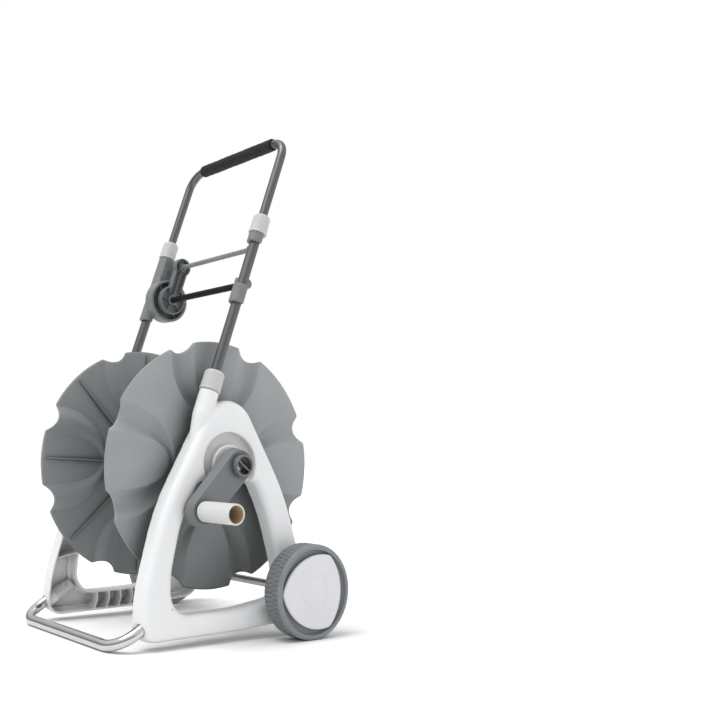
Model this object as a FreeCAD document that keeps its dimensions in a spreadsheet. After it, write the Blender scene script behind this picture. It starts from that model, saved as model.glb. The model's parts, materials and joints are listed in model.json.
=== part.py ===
"""Garden hose reel cart: two moulded side frames, a hand-cranked drum between them, a telescopic
handle with a swinging hose guide, two wheels on one axle and a bent-tube front foot.

Millimetres, +Z up. The cart is drawn about its own middle plane (x = 0), with the reel's axle over
y = 0 and the floor at z = 0; every sub-part's Placement then carries it to the origin, which is the
middle of the whole cart's footprint. The crank is on the +X side and the wheels are at +Y.
"""
import FreeCAD, Part
import math
import os
import Sketcher
from FreeCAD import Placement, Rotation, Vector

doc = FreeCAD.newDocument("hose_reel_cart")

# ---------------------------------------------------------------------------------------------
# Driving dimensions
# ---------------------------------------------------------------------------------------------
DIMENSIONS = {
    "origin_x": (-20.0, "middle plane of the cart from the origin"),
    "origin_y": (6.0, "reel axle from the origin"),
    "reel_z": (295.0, "height of the reel's axle"),
    "flange_radius": (215.0, "reel flange"),
    "flange_face": (116.0, "outer face of a flange from the middle"),
    "flange_wall": (3.0, "sheet of a flange"),
    "flange_rib": (7.0, "height of the ribs on a flange's hose side"),
    "rim_margin": (10.0, "how far those ribs stop short of the rim"),
    "notch_radius": (34.0, "round notch between two petals"),
    "notch_depth": (13.0, "depth of that notch"),
    "petal_turn": (2.2, "degrees from the top to the middle of the first narrow petal"),
    "notch_spread": (20.3, "degrees from the middle of a narrow petal to the notch beside it"),
    "drum_radius": (70.0, "drum that the hose is wound on"),
    "drum_wall": (3.5, "wall of the drum"),
    "journal_radius": (12.0, "both stub shafts in their bushes"),
    "spigot_radius": (8.0, "end of the water pipe, in the inlet elbow"),
    "pipe_bore": (5.5, "water way through the pipe"),
    "hub_face": (166.5, "outer face of a frame's hub boss from the middle"),
    "shaft_end": (172.0, "end of a journal from the middle"),
    "bush_radius": (15.0, "outside of a hub bush"),
    "running_gap": (0.05, "radial clearance of a running fit"),
    "face_gap": (0.3, "gap between faces that turn past each other"),
    "frame_inner": (148.0, "open side of a side frame at the floor"),
    "frame_depth": (36.0, "depth of a side frame"),
    "frame_wall": (4.0, "wall of a side frame"),
    "frame_lean": (3.0, "degrees that a side frame leans inward"),
    "frame_round": (13.0, "radius along the frame's outer edges"),
    "bowl_radius": (55.0, "recess round the hub"),
    "bowl_depth": (14.0, "depth of that recess"),
    "hub_boss_radius": (35.0, "round boss behind the crank"),
    "rib_wall": (2.6, "ribs inside a frame"),
    "handle_y": (-25.0, "handle line at the lower collars"),
    "handle_z": (434.0, "height of that point"),
    "handle_lean": (19.55, "degrees that the handle leans back"),
    "handle_x": (146.0, "handle tubes from the middle"),
    "outer_tube_radius": (9.0, "lower handle tube"),
    "outer_tube_bore": (8.0, "its bore"),
    "inner_tube_radius": (7.95, "upper handle tube"),
    "inner_tube_bore": (6.9, "its bore"),
    "outer_tube_low": (-84.0, "lower end of the lower tube, along the handle line"),
    "outer_tube_top": (312.0, "its upper end"),
    "inner_tube_low": (226.0, "lower end of the upper tube"),
    "grip_along": (486.0, "grip, along the handle line"),
    "handle_bend": (36.0, "bend radius of the upper tube"),
    "grip_radius": (12.0, "foam grip"),
    "grip_half": (109.5, "half its length"),
    "socket_radius": (17.0, "frame socket for a handle tube"),
    "neck_radius": (12.0, "neck of that socket, inside the collar"),
    "collar_radius": (16.0, "upper lock collar"),
    "low_collar_radius": (18.2, "lower lock collar"),
    "collar_length": (36.0, "its length"),
    "low_collar": (-14.0, "lower collar's foot, along the handle line"),
    "high_collar": (289.0, "upper collar's foot"),
    "socket_root": (-135.0, "where a socket has tapered away into its frame"),
    "socket_screw_along": (-48.0, "screw through each socket"),
    "screw_radius": (1.7, "shank of the small screws"),
    "foot_radius": (9.5, "front foot tube"),
    "foot_bore": (8.2, "its bore"),
    "foot_y": (-217.5, "front bar of the foot"),
    "foot_x": (167.0, "leg of the foot from the middle"),
    "foot_bend": (40.0, "bend radius of the foot"),
    "foot_rise": (30.0, "degrees that a leg of the foot rises"),
    "foot_leg": (72.0, "leg of the foot, from the corner"),
    "axle_y": (130.0, "wheel axle behind the reel's axle"),
    "axle_radius": (7.0, "wheel axle"),
    "axle_half": (231.0, "half its length"),
    "wheel_radius": (81.0, "wheel"),
    "wheel_inner": (198.0, "inner face of a wheel from the middle"),
    "wheel_outer": (240.0, "outer face of a wheel"),
    "wheel_hub": (196.0, "inner face of a wheel's hub"),
    "wheel_recess": (72.0, "dished outer face of a wheel"),
    "cover_side": (60.0, "side of the three-sided wheel cover from its middle"),
    "cover_bow": (88.0, "radius of its bulging sides"),
    "arm_inner": (178.0, "back of the crank arm"),
    "arm_outer": (196.0, "its face"),
    "arm_wall": (3.0, "its wall"),
    "arm_hub_radius": (30.0, "its round end at the hub"),
    "arm_knob_radius": (27.0, "its round end at the knob"),
    "arm_draft": (4.0, "how far its face is set in from its edge"),
    "crank_y": (-73.0, "knob from the reel's axle"),
    "crank_z": (-74.5, "knob below the reel's axle"),
    "cap_radius": (18.0, "hub cap"),
    "cap_face": (208.0, "its face from the middle"),
    "knob_radius": (17.0, "crank knob"),
    "knob_bore": (14.2, "its hollow"),
    "knob_start": (197.0, "inner end of the knob"),
    "knob_end": (280.0, "outer end of the knob"),
    "knob_pin_radius": (6.0, "pin that the knob turns on"),
    "guide_along": (200.0, "guide rod, along the handle line"),
    "guide_back": (17.0, "guide rod, behind the handle line"),
    "guide_rod_radius": (6.0, "fixed rod of the hose guide"),
    "bar_along": (272.0, "swinging bar, along the handle line"),
    "bar_back": (16.0, "swinging bar, behind the handle line"),
    "bar_radius": (4.6, "swinging bar"),
    "clip_radius": (14.5, "plastic clips round a handle tube"),
    "clip_slot": (5.5, "open back of a clip, behind the handle line"),
    "housing_radius": (42.0, "round housing of the guide bracket"),
    "housing_back": (-138.0, "closed side of that housing from the middle"),
    "housing_rim": (-112.4, "open side of that housing"),
    "housing_cup": (19.0, "depth of its hollow"),
    "bracket_screw_along": (255.0, "screw of the guide bracket, along the handle line"),
    "lever_start": (-112.0, "back of the left lever from the middle"),
    "lever_depth": (13.0, "depth of the left lever"),
    "plug_radius": (8.4, "inlet plug for a hose connector"),
    "plug_start": (30.0, "upper end of that plug below the reel's axle"),
    "plug_length": (26.0, "its length"),
    "inlet_radius": (14.0, "sleeve of the inlet elbow"),
    "inlet_length": (36.0, "its length"),
    "inlet_drop": (25.0, "from the sleeve's inner end to the plug's line"),
    "nipple_turn": (157.0, "degrees round the drum to the hose outlet"),
    "nipple_x": (-88.0, "hose outlet from the middle"),
}

sheet = doc.addObject("Spreadsheet::Sheet", "dims")
for row, (alias, (number, note)) in enumerate(DIMENSIONS.items(), start=1):
    sheet.set("A%d" % row, note)
    sheet.set("B%d" % row, repr(number))
    sheet.setAlias("B%d" % row, alias)
doc.recompute()


class Size:
    """A length from the sheet, which keeps the expression that binds it to its cells."""

    def __init__(self, number, text):
        self.number = number
        self.text = text

    def __float__(self):
        return self.number

    def __add__(self, other):
        return Size(self.number + float(other), "(%s + %s)" % (self.text, words(other)))

    def __radd__(self, other):
        return Size(float(other) + self.number, "(%s + %s)" % (words(other), self.text))

    def __sub__(self, other):
        return Size(self.number - float(other), "(%s - %s)" % (self.text, words(other)))

    def __rsub__(self, other):
        return Size(float(other) - self.number, "(%s - %s)" % (words(other), self.text))

    def __mul__(self, other):
        return Size(self.number * float(other), "(%s * %s)" % (self.text, words(other)))

    def __rmul__(self, other):
        return Size(float(other) * self.number, "(%s * %s)" % (words(other), self.text))

    def __neg__(self):
        return Size(-self.number, "(-1 * %s)" % self.text)


def words(size):
    """The expression for a size or a plain number."""
    return size.text if isinstance(size, Size) else repr(float(size))


class Dimensions:
    """Every alias of the sheet as an attribute."""

    def __getattr__(self, alias):
        return Size(float(sheet.get(alias)), "dims." + alias)


d = Dimensions()

# ---------------------------------------------------------------------------------------------
# Directions and places that several parts share
# ---------------------------------------------------------------------------------------------
LEAN = math.radians(float(d.handle_lean))
ALONG = Vector(0, math.sin(LEAN), math.cos(LEAN))      # up the handle tubes
BACK = Vector(0, math.cos(LEAN), -math.sin(LEAN))      # square to them, towards the wheels
X_AXIS = Vector(1, 0, 0)
NO_TURN = Rotation()
ALONG_HANDLE = Rotation(X_AXIS, ALONG)
UPRIGHT_HANDLE = Rotation(Vector(0, 0, 1), ALONG)


def on_handle(x, along, back=0.0):
    """A point given along and behind the handle line, on the plane at x."""
    start = Vector(float(x), float(d.handle_y), float(d.handle_z))
    return start + ALONG * float(along) + BACK * float(back)


REEL = Vector(0, 0, float(d.reel_z))
AXLE = Vector(0, float(d.axle_y), float(d.wheel_radius))
CRANK = REEL + Vector(0, float(d.crank_y), float(d.crank_z))
GUIDE = on_handle(0, d.guide_along, d.guide_back)
BAR = on_handle(0, d.bar_along, d.bar_back)

parts = []                                              # every sub-part, in order


def sub_part(obj, label, place=Vector(0, 0, 0), turn=NO_TURN):
    """Names a finished sub-part and moves it from the cart's middle to the origin."""
    obj.Label = label
    obj.Placement = Placement(place, turn)
    obj.setExpression("Placement.Base.x", "%r + dims.origin_x" % place.x)
    obj.setExpression("Placement.Base.y", "%r + dims.origin_y" % place.y)
    parts.append(obj)
    return obj


# ---------------------------------------------------------------------------------------------
# Ways of making a part
# ---------------------------------------------------------------------------------------------
def origin_plane(body, role):
    return [item for item in body.Origin.OriginFeatures if item.Role == role][0]


def new_sketch(body, name, role):
    sketch = body.newObject("Sketcher::SketchObject", name)
    sketch.AttachmentSupport = (origin_plane(body, role), [""])
    sketch.MapMode = "FlatFace"
    return sketch


def draw_polygon(sketch, corners):
    """A closed polygon, each corner held by its two distances, which follow the sheet."""
    spots = [Vector(float(x), float(y), 0) for x, y in corners]
    count = len(spots)
    first = sketch.GeometryCount
    for i in range(count):
        sketch.addGeometry(Part.LineSegment(spots[i], spots[(i + 1) % count]), False)
    for i in range(count):
        sketch.addConstraint(Sketcher.Constraint("Coincident", first + i, 2, first + (i + 1) % count, 1))
    for i, corner in enumerate(corners):
        for kind, on_axis, size in (("DistanceX", -2, corner[0]), ("DistanceY", -1, corner[1])):
            if not isinstance(size, Size) and float(size) == 0.0:
                sketch.addConstraint(Sketcher.Constraint("PointOnObject", first + i, 1, on_axis))
                continue
            number = sketch.addConstraint(
                Sketcher.Constraint(kind, -1, 1, first + i, 1, float(size)))
            if isinstance(size, Size):
                sketch.setExpression("Constraints[%d]" % number, size.text)


def turned_body(name, profile):
    """A body turned about its own X axis from a closed profile of (x, radius) corners."""
    body = doc.addObject("PartDesign::Body", name)
    sketch = new_sketch(body, name + "_profile", "XZ_Plane")
    draw_polygon(sketch, profile)
    turn = body.newObject("PartDesign::Revolution", name + "_turn")
    turn.Profile = sketch
    turn.ReferenceAxis = (sketch, ["H_Axis"])
    turn.Angle = 360.0
    sketch.Visibility = False
    return body


def turned(label, profile, place, turn=NO_TURN):
    return sub_part(turned_body(label, profile), label, place, turn)


def ring_profile(start, end, bore, radius):
    return [(start, bore), (end, bore), (end, radius), (start, radius)]


def cylinder(name, radius, height, place, direction=X_AXIS):
    """A plain cylinder from place along direction."""
    obj = doc.addObject("Part::Cylinder", name)
    obj.setExpression("Radius", words(radius))
    obj.setExpression("Height", words(height))
    obj.Placement = Placement(place, Rotation(Vector(0, 0, 1), direction))
    return obj


def box(name, length, width, height, place, turn=NO_TURN):
    obj = doc.addObject("Part::Box", name)
    obj.setExpression("Length", words(length))
    obj.setExpression("Width", words(width))
    obj.setExpression("Height", words(height))
    obj.Placement = Placement(place, turn)
    return obj


def fuse(name, shapes):
    obj = doc.addObject("Part::MultiFuse", name)
    obj.Shapes = shapes
    return obj


def cut(name, base, tool):
    obj = doc.addObject("Part::Cut", name)
    obj.Base = base
    obj.Tool = tool
    return obj


def shaped(label, shape):
    """A sub-part whose shape comes from Part's own functions."""
    obj = doc.addObject("Part::Feature", label)
    obj.Shape = shape
    return sub_part(obj, label, shape.Placement.Base, shape.Placement.Rotation)


def solid_cylinder(radius, height, place, direction=X_AXIS):
    return Part.makeCylinder(float(radius), float(height), place, direction)


def rounded_wire(corners):
    """A closed wire of straight runs on the plane x = 0, from (y, z, radius) corners."""
    spots = [Vector(0, y, z) for y, z, _ in corners]
    edges = []
    ends = []
    for i, corner in enumerate(spots):
        arriving = (corner - spots[i - 1]).normalize()
        leaving = (spots[(i + 1) % len(spots)] - corner).normalize()
        radius = corners[i][2]
        half = arriving.getAngle(leaving) / 2
        first = corner - arriving * radius * math.tan(half)
        last = corner + leaving * radius * math.tan(half)
        middle = corner + (leaving - arriving).normalize() * radius * (1 / math.cos(half) - 1)
        edges.append(Part.Arc(first, middle, last).toShape())
        ends.append((first, last))
    sides = [Part.LineSegment(ends[i - 1][1], ends[i][0]).toShape() for i in range(len(ends))]
    return Part.Wire([edge for pair in zip(sides, edges) for edge in pair])


def slab(wire, thickness):
    """A wire's face drawn out along +X."""
    return Part.Face(wire).extrude(Vector(float(thickness), 0, 0))


def bent_rod(corners, bend, radius):
    """A round rod along straight runs, with an arc of the given bend radius at each corner."""
    bend = float(bend)
    start = corners[0]
    edges = []
    for before, corner, after in zip(corners, corners[1:], corners[2:]):
        arriving = (corner - before).normalize()
        leaving = (after - corner).normalize()
        turn = arriving.getAngle(leaving)
        setback = bend * math.tan(turn / 2)
        first = corner - arriving * setback
        last = corner + leaving * setback
        middle = corner + (leaving - arriving).normalize() * bend * (1 / math.cos(turn / 2) - 1)
        edges += [Part.LineSegment(start, first).toShape(), Part.Arc(first, middle, last).toShape()]
        start = last
    edges.append(Part.LineSegment(start, corners[-1]).toShape())
    path = Part.Wire(edges)
    circle = Part.Circle(corners[0], (corners[1] - corners[0]).normalize(), float(radius)).toShape()
    return path.makePipeShell([Part.Wire([circle])], True, True)


# ---------------------------------------------------------------------------------------------
# Side frames
# ---------------------------------------------------------------------------------------------
# Outline and opening as seen from the crank side, before the frame leans: corners (y, z, radius)
# measured from the reel's axle and the floor. The large radii are the gentle curves of the legs.
FRAME_OUTLINE = [
    (-179, 11, 28), (-176, 85, 250), (-135, 225, 400), (4, 461, 55), (122, 248, 400),
    (163, 110, 250), (161, 24, 34), (20, 15, 600),
]
FRAME_OPENING = [
    (-122, 50, 38), (-119, 120, 150), (-100, 195, 200), (-62, 268, 24), (56, 268, 22),
    (84, 210, 300), (108, 120, 150), (110, 66, 28), (10, 52, 500),
]
LEG_RIBS = [(-158, 118, -108, 128), (-146, 172, -98, 192), (-108, 262, -70, 240),
            (118, 205, 84, 196), (136, 150, 98, 146)]
FOOT_RISE = math.radians(float(d.foot_rise))
FOOT_LEG = Vector(0, math.cos(FOOT_RISE), math.sin(FOOT_RISE))
FOOT_CORNER = Vector(float(d.foot_x), float(d.foot_y), float(d.foot_radius))
SEAT = 0.02                                             # radial play of a tube fixed in a moulding


def outward_edges(shape, x):
    """The edges of a shape that lie on the plane at x."""
    return [e for e in shape.Edges if abs(e.BoundBox.XMin - x) < 1e-4 and abs(e.BoundBox.XMax - x) < 1e-4]


def between_walls(wall, depth):
    """The hollow between a frame's outer and inner walls, down to a depth."""
    outer = rounded_wire(FRAME_OUTLINE).makeOffset2D(-wall)
    inner = rounded_wire(FRAME_OPENING).makeOffset2D(wall)
    return slab(outer, depth).cut(slab(inner, depth))


def frame_solid():
    """The outside of one frame, standing upright from x = 0, with its outer edges rounded."""
    depth = float(d.frame_depth)
    solid = slab(rounded_wire(FRAME_OUTLINE), depth).cut(slab(rounded_wire(FRAME_OPENING), depth))
    return solid.makeFillet(float(d.frame_round), outward_edges(solid, depth))


def frame_shell(solid):
    """The same frame as a hollow moulding, open towards the reel, with a recess round the hub."""
    depth = float(d.frame_depth)
    wall = float(d.frame_wall)
    hub = Vector(0, 0, float(d.reel_z))
    bowl = solid_cylinder(d.bowl_radius, d.bowl_depth, hub + Vector(depth - float(d.bowl_depth), 0, 0))
    hollow = between_walls(wall, depth - float(d.frame_round))
    hollow = hollow.fuse(between_walls(2.2 * wall, depth - wall))
    floor_start = depth - float(d.bowl_depth) - wall
    bowl_floor = solid_cylinder(float(d.bowl_radius) + wall, depth, hub + Vector(floor_start, 0, 0))
    return solid.cut(bowl).cut(hollow.cut(bowl_floor))


def rib(y0, z0, y1, z1, depth, wall):
    """A flat rib across a hollow, from one point to another."""
    start = Vector(0, y0, z0)
    run = Vector(0, y1 - y0, z1 - z0)
    side = Vector(0, -run.z, run.y).normalize() * wall / 2
    corners = [start + side, start - side, start + run - side, start + run + side, start + side]
    return Part.Face(Part.makePolygon(corners)).extrude(Vector(depth, 0, 0))


def frame_ribs():
    """The ribs that stiffen the legs and the curved ones along the bottom bar."""
    wall = float(d.rib_wall)
    deep = float(d.frame_depth) - float(d.frame_wall) / 2
    ribs = [rib(*ends, deep, wall) for ends in LEG_RIBS]
    pitch, bow, reach, bar_height = 26, 30, 26, 36
    for y in range(-78, 100, pitch):
        centre = Vector(0, y - 24, bar_height)
        ring = solid_cylinder(bow, reach, centre).cut(solid_cylinder(bow - wall, reach, centre))
        ribs.append(ring.common(Part.makeBox(reach, 20, 44, Vector(0, y - 8, 14))))
    return ribs


def leaned(shape):
    """Carries an upright frame shape out to its place and leans its top inward."""
    shape.translate(Vector(float(d.frame_inner), 0, 0))
    shape.rotate(Vector(float(d.frame_inner), 0, 0), Vector(0, 1, 0), -float(d.frame_lean))
    return shape


def side_frame(side):
    """A side frame with its bosses and sockets; side is +1 for the crank side, -1 for the other."""
    solid = frame_solid()
    shape = leaned(frame_shell(solid).fuse([r.common(solid) for r in frame_ribs()]))
    face = float(d.hub_face)
    hub_start, boss_start, axle_start = 136, 146, 149
    axle_face = float(d.wheel_hub) - float(d.face_gap)
    socket_start = float(d.outer_tube_low) + 24
    root = float(d.socket_root)
    foot_start, foot_boss_radius = 30, 13.2
    foot_boss = solid_cylinder(foot_boss_radius, float(d.foot_leg) - foot_start,
                               FOOT_CORNER + FOOT_LEG * foot_start, FOOT_LEG)
    bosses = [
        solid_cylinder(d.hub_boss_radius, face - boss_start, REEL + X_AXIS * boss_start),
        solid_cylinder(d.bush_radius + 4, face - hub_start, REEL + X_AXIS * hub_start),
        solid_cylinder(d.axle_radius + 9, axle_face - axle_start, AXLE + X_AXIS * axle_start),
        solid_cylinder(d.socket_radius, float(d.low_collar) - socket_start,
                       on_handle(d.handle_x, socket_start), ALONG),
        Part.makeCone(6, float(d.socket_radius), socket_start - root, on_handle(d.handle_x, root), ALONG),
        solid_cylinder(d.neck_radius, 24, on_handle(d.handle_x, float(d.low_collar) - 2), ALONG),
        foot_boss.common(leaned(solid)),
    ]
    bores = [
        solid_cylinder(d.bush_radius, 60, REEL + X_AXIS * (hub_start - 11)),
        solid_cylinder(d.axle_radius + SEAT, 80, AXLE + X_AXIS * (axle_start - 19)),
        solid_cylinder(d.outer_tube_radius + SEAT, 160, on_handle(d.handle_x, d.outer_tube_low), ALONG),
        solid_cylinder(d.foot_radius + SEAT, d.foot_leg, FOOT_CORNER + FOOT_LEG * 10, FOOT_LEG),
        solid_cylinder(d.neck_radius + 0.2, 39, FOOT_CORNER + FOOT_LEG * float(d.foot_leg), FOOT_LEG),
        solid_cylinder(d.screw_radius, 20, on_handle(128, d.socket_screw_along)),
    ]
    for boss in bosses:
        shape = shape.fuse(boss)
    for bore in bores:
        shape = shape.cut(bore)
    return shape if side > 0 else shape.mirror(Vector(0, 0, 0), X_AXIS)


shaped("side_frame_right", side_frame(1))
shaped("side_frame_left", side_frame(-1))

# ---------------------------------------------------------------------------------------------
# Foot, axle and lower handle tubes: fixed to the side frames
# ---------------------------------------------------------------------------------------------
def mirrored(point):
    return Vector(-point.x, point.y, point.z)


foot_corners = [FOOT_CORNER + FOOT_LEG * float(d.foot_leg), FOOT_CORNER]
foot_corners += [mirrored(corner) for corner in reversed(foot_corners)]
shaped("foot_tube", bent_rod(foot_corners, d.foot_bend, d.foot_radius).cut(
    bent_rod(foot_corners, d.foot_bend, d.foot_bore)))

plug_profile = [(-18, 0), (36, 0), (38, 4), (38, 10), (12, 12), (0, 12), (0, d.foot_bore - 0.1),
                (-18, d.foot_bore - 0.1)]
for side, name in ((1, "foot_plug_right"), (-1, "foot_plug_left")):
    end = foot_corners[0] if side > 0 else foot_corners[3]
    turned(name, plug_profile, end, Rotation(X_AXIS, FOOT_LEG))

turned("axle_rod", ring_profile(-d.axle_half, d.axle_half, d.axle_radius - 1.5, d.axle_radius), AXLE)
clip_start = d.wheel_outer - 11.8
for side, name in ((0, "axle_clip_right"), (180, "axle_clip_left")):
    turned(name, [(clip_start, d.axle_radius), (clip_start + 1, d.axle_radius), (clip_start + 2.4, 10.5),
                  (clip_start + 2.4, 12), (clip_start + 1, 12), (clip_start, 10.5)],
           AXLE, Rotation(Vector(0, 0, 1), side))

for side, word in ((1, "right"), (-1, "left")):
    tube = turned_body("tube_" + word, ring_profile(
        d.outer_tube_low, d.outer_tube_top, d.outer_tube_bore, d.outer_tube_radius))
    tube.Placement = Placement(on_handle(side * float(d.handle_x), 0), ALONG_HANDLE)
    hole = cylinder("tube_hole_" + word, d.screw_radius, 16,
                    on_handle(side * float(d.handle_x), d.socket_screw_along), X_AXIS * -side)
    sub_part(cut("lower_tube_" + word, tube, hole), "lower_tube_" + word)

# Screws that pin the lower tubes in their sockets, from the inner side.
socket_screws = []
for side in (1, -1):
    outside = X_AXIS * side * (float(d.socket_radius) + 2)
    spot = on_handle(side * float(d.handle_x), d.socket_screw_along) - outside
    head = solid_cylinder(4.2, 2.0, spot, X_AXIS * side)
    shank = solid_cylinder(d.screw_radius, 9.6, spot, X_AXIS * side)
    socket_screws.append(head.fuse(shank))
shaped("socket_screws", Part.makeCompound(socket_screws))

# ---------------------------------------------------------------------------------------------
# Reel bearings and the water inlet
# ---------------------------------------------------------------------------------------------
bush_bore = d.journal_radius + d.running_gap
bush_lip = 136
bush_profile = [(bush_lip - 2.8, bush_bore), (d.hub_face, bush_bore), (d.hub_face, d.bush_radius),
                (bush_lip, d.bush_radius), (bush_lip, d.bush_radius + 3.6),
                (bush_lip - 2.8, d.bush_radius + 3.6)]
turned("hub_bush_right", bush_profile, REEL)
turned("hub_bush_left", bush_profile, REEL, Rotation(Vector(0, 0, 1), 180))


def inlet_shape():
    """The elbow that takes water in at the reel's axle, with its plug hanging down."""
    start = float(d.hub_face) + float(d.face_gap)
    drop = start + float(d.inlet_drop)
    down = Vector(0, 0, -1)
    plug_top = float(d.plug_start)
    groove_top, groove_width, groove_radius = plug_top + 14, 2.4, 7
    sleeve = solid_cylinder(d.inlet_radius, d.inlet_length, Vector(start, 0, 0))
    sleeve = sleeve.makeFillet(3, outward_edges(sleeve, start + float(d.inlet_length)))
    neck = solid_cylinder(9.5, plug_top, Vector(drop, 0, 0), down)
    collar = solid_cylinder(12.5, 3, Vector(drop, 0, 3 - plug_top), down)
    plug = solid_cylinder(d.plug_radius, d.plug_length, Vector(drop, 0, -plug_top), down)
    groove_start = Vector(drop, 0, -groove_top)
    groove = solid_cylinder(d.plug_radius + 1, groove_width, groove_start, down).cut(
        solid_cylinder(groove_radius, groove_width, groove_start, down))
    shape = sleeve.fuse([neck, collar, plug]).cut(groove)
    journal_room = solid_cylinder(d.journal_radius + 0.4, 6.4, Vector(start - 0.4, 0, 0))
    spigot_room = solid_cylinder(d.spigot_radius + d.running_gap, 26, Vector(start, 0, 0))
    water_way = solid_cylinder(d.pipe_bore, plug_top + float(d.plug_length) + 2, Vector(drop, 0, 0), down)
    shape = shape.cut([journal_room, spigot_room, water_way])
    shape.translate(REEL)
    return shape.mirror(Vector(0, 0, 0), X_AXIS)


shaped("inlet_elbow", inlet_shape())

# ---------------------------------------------------------------------------------------------
# Reel: flanges, drum, shafts and the water way
# ---------------------------------------------------------------------------------------------
SCREW_RADIUS = 24
SCREW_CIRCLE = [Rotation(X_AXIS, 45 + 90 * i).multVec(Vector(0, 0, SCREW_RADIUS)) for i in range(4)]
HEAD_RADIUS = 4.0


def screw_holes(start, length, radius):
    """Round cutters on the circle of flange screws, about the reel's axle."""
    return [solid_cylinder(radius, length, spot + X_AXIS * start) for spot in SCREW_CIRCLE]


def with_screw_holes(name, body, side):
    """A shaft of the reel with its four screw holes, on the crank side or the other."""
    drills = []
    for i, spot in enumerate(SCREW_CIRCLE):
        start = REEL + spot + X_AXIS * side * (float(d.flange_face) - 20)
        drills.append(cylinder("%s_drill_%d" % (name, i), d.screw_radius, 30, start, X_AXIS * side))
    body.Placement = Placement(REEL, NO_TURN)
    return sub_part(cut(name, body, fuse(name + "_drills", drills)), name)


def flange_outline(thickness):
    """A round plate from x = 0, notched between its four narrow and four wide petals."""
    plate = solid_cylinder(d.flange_radius, thickness, Vector(0, 0, 0))
    centre = float(d.flange_radius) - float(d.notch_depth) + float(d.notch_radius)
    for quarter in range(4):
        for side in (-1, 1):
            turn = 90 * quarter + float(d.petal_turn) + side * float(d.notch_spread)
            spot = Rotation(X_AXIS, -turn).multVec(Vector(-1, 0, centre))
            plate = plate.cut(solid_cylinder(d.notch_radius, thickness + 2, spot))
    return plate


def flange(side):
    """A flange with its hub, and a thin straight rib behind the middle of each petal."""
    wall = float(d.flange_wall)
    face = float(d.flange_face)
    height = float(d.flange_rib)
    start = float(d.drum_radius)
    reach = float(d.flange_radius) - float(d.rim_margin) - start
    plate = flange_outline(wall)
    plate.translate(Vector(face - wall, 0, 0))
    hub = solid_cylinder(SCREW_RADIUS + 10, 10, Vector(face, 0, 0))
    ribs = []
    for i in range(8):
        web = Part.makeBox(height, 2.2, reach, Vector(face - wall - height, -1.1, start))
        web.rotate(Vector(0, 0, 0), X_AXIS, -(45 * i + float(d.petal_turn)))
        ribs.append(web)
    shape = plate.fuse([hub] + ribs)
    shape = shape.cut(solid_cylinder(d.journal_radius, 40, Vector(face - 20, 0, 0)))
    shape = shape.cut(screw_holes(face - 10, 30, d.screw_radius))
    shape = shape.cut(screw_holes(face + 2, 20, HEAD_RADIUS + 0.2))
    shape.translate(REEL)
    return shape if side > 0 else shape.mirror(Vector(0, 0, 0), X_AXIS)


shaped("flange_right", flange(1))
shaped("flange_left", flange(-1))

drum_end = d.flange_face - d.flange_wall
drum = turned_body("drum_tube", ring_profile(-drum_end, drum_end, d.drum_radius - d.drum_wall, d.drum_radius))
drum.Placement = Placement(REEL, NO_TURN)
outlet_angle = math.radians(float(d.nipple_turn))
OUTLET_WAY = Vector(0, math.cos(outlet_angle), math.sin(outlet_angle))
OUTLET = REEL + Vector(float(d.nipple_x), 0, 0)
outlet_hole = cylinder("outlet_hole", 8.0, d.drum_radius + 10, OUTLET, OUTLET_WAY)
sub_part(cut("drum", drum, outlet_hole), "drum")

SHAFT_NOSE = 8.0                                        # end of the crank shaft, in the arm
CRANK_SCREW_HEAD = 9.5
CRANK_SCREW_SEAT = 6.0                                  # depth of that head's seat below the arm's face
crank_screw_radius = 2.4
crank_screw_tip = 150
shaft_start = drum_end - 13
shaft_plate = 30
nose_end = d.arm_outer - CRANK_SCREW_SEAT
nose_start = d.arm_inner + 0.5
with_screw_holes("crank_shaft", turned_body("shaft_body", [
    (shaft_start, 0), (crank_screw_tip, 0), (crank_screw_tip, crank_screw_radius),
    (nose_end, crank_screw_radius), (nose_end, SHAFT_NOSE), (nose_start, SHAFT_NOSE),
    (nose_start, d.journal_radius), (drum_end, d.journal_radius), (drum_end, shaft_plate),
    (shaft_start, shaft_plate)]), 1)

pipe_end = d.shaft_end + 18
seal_groove = d.spigot_radius - 1.6
with_screw_holes("water_pipe", turned_body("pipe_body", [
    (-pipe_end, d.pipe_bore), (d.nipple_x + 12, d.pipe_bore), (d.nipple_x + 12, d.journal_radius),
    (-shaft_start, d.journal_radius), (-shaft_start, shaft_plate), (-drum_end, shaft_plate),
    (-drum_end, d.journal_radius),
    (-d.shaft_end, d.journal_radius), (-d.shaft_end, d.spigot_radius), (9.2 - pipe_end, d.spigot_radius),
    (9.2 - pipe_end, seal_groove), (6.8 - pipe_end, seal_groove), (6.8 - pipe_end, d.spigot_radius),
    (-pipe_end, d.spigot_radius)]), -1)
seal = doc.addObject("Part::Torus", "pipe_seal")
seal.setExpression("Radius1", words(d.spigot_radius - 0.7))
seal.Radius2 = 0.72
sub_part(seal, "pipe_seal", REEL - X_AXIS * (float(pipe_end) - 8.0), Rotation(Vector(0, 0, 1), X_AXIS))

OUTLET_TURN = Rotation(X_AXIS, OUTLET_WAY)
turned("feed_pipe", ring_profile(d.journal_radius + 0.1, d.drum_radius - 5, 4.5, 7), OUTLET, OUTLET_TURN)
nipple_foot = d.drum_radius - 5
barb, waist, seat = 8.2, 7, 12
turned("outlet_nipple", [
    (nipple_foot, 4.5), (nipple_foot + 30, 4.5), (nipple_foot + 30, waist + 0.4), (nipple_foot + 23, barb),
    (nipple_foot + 21, barb), (nipple_foot + 21, waist), (nipple_foot + 18, waist), (nipple_foot + 18, barb),
    (nipple_foot + 10, barb), (nipple_foot + 10, seat), (nipple_foot + 5.5, seat), (nipple_foot + 5.5, 7.9),
    (nipple_foot, 7.9)], OUTLET, OUTLET_TURN)

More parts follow.
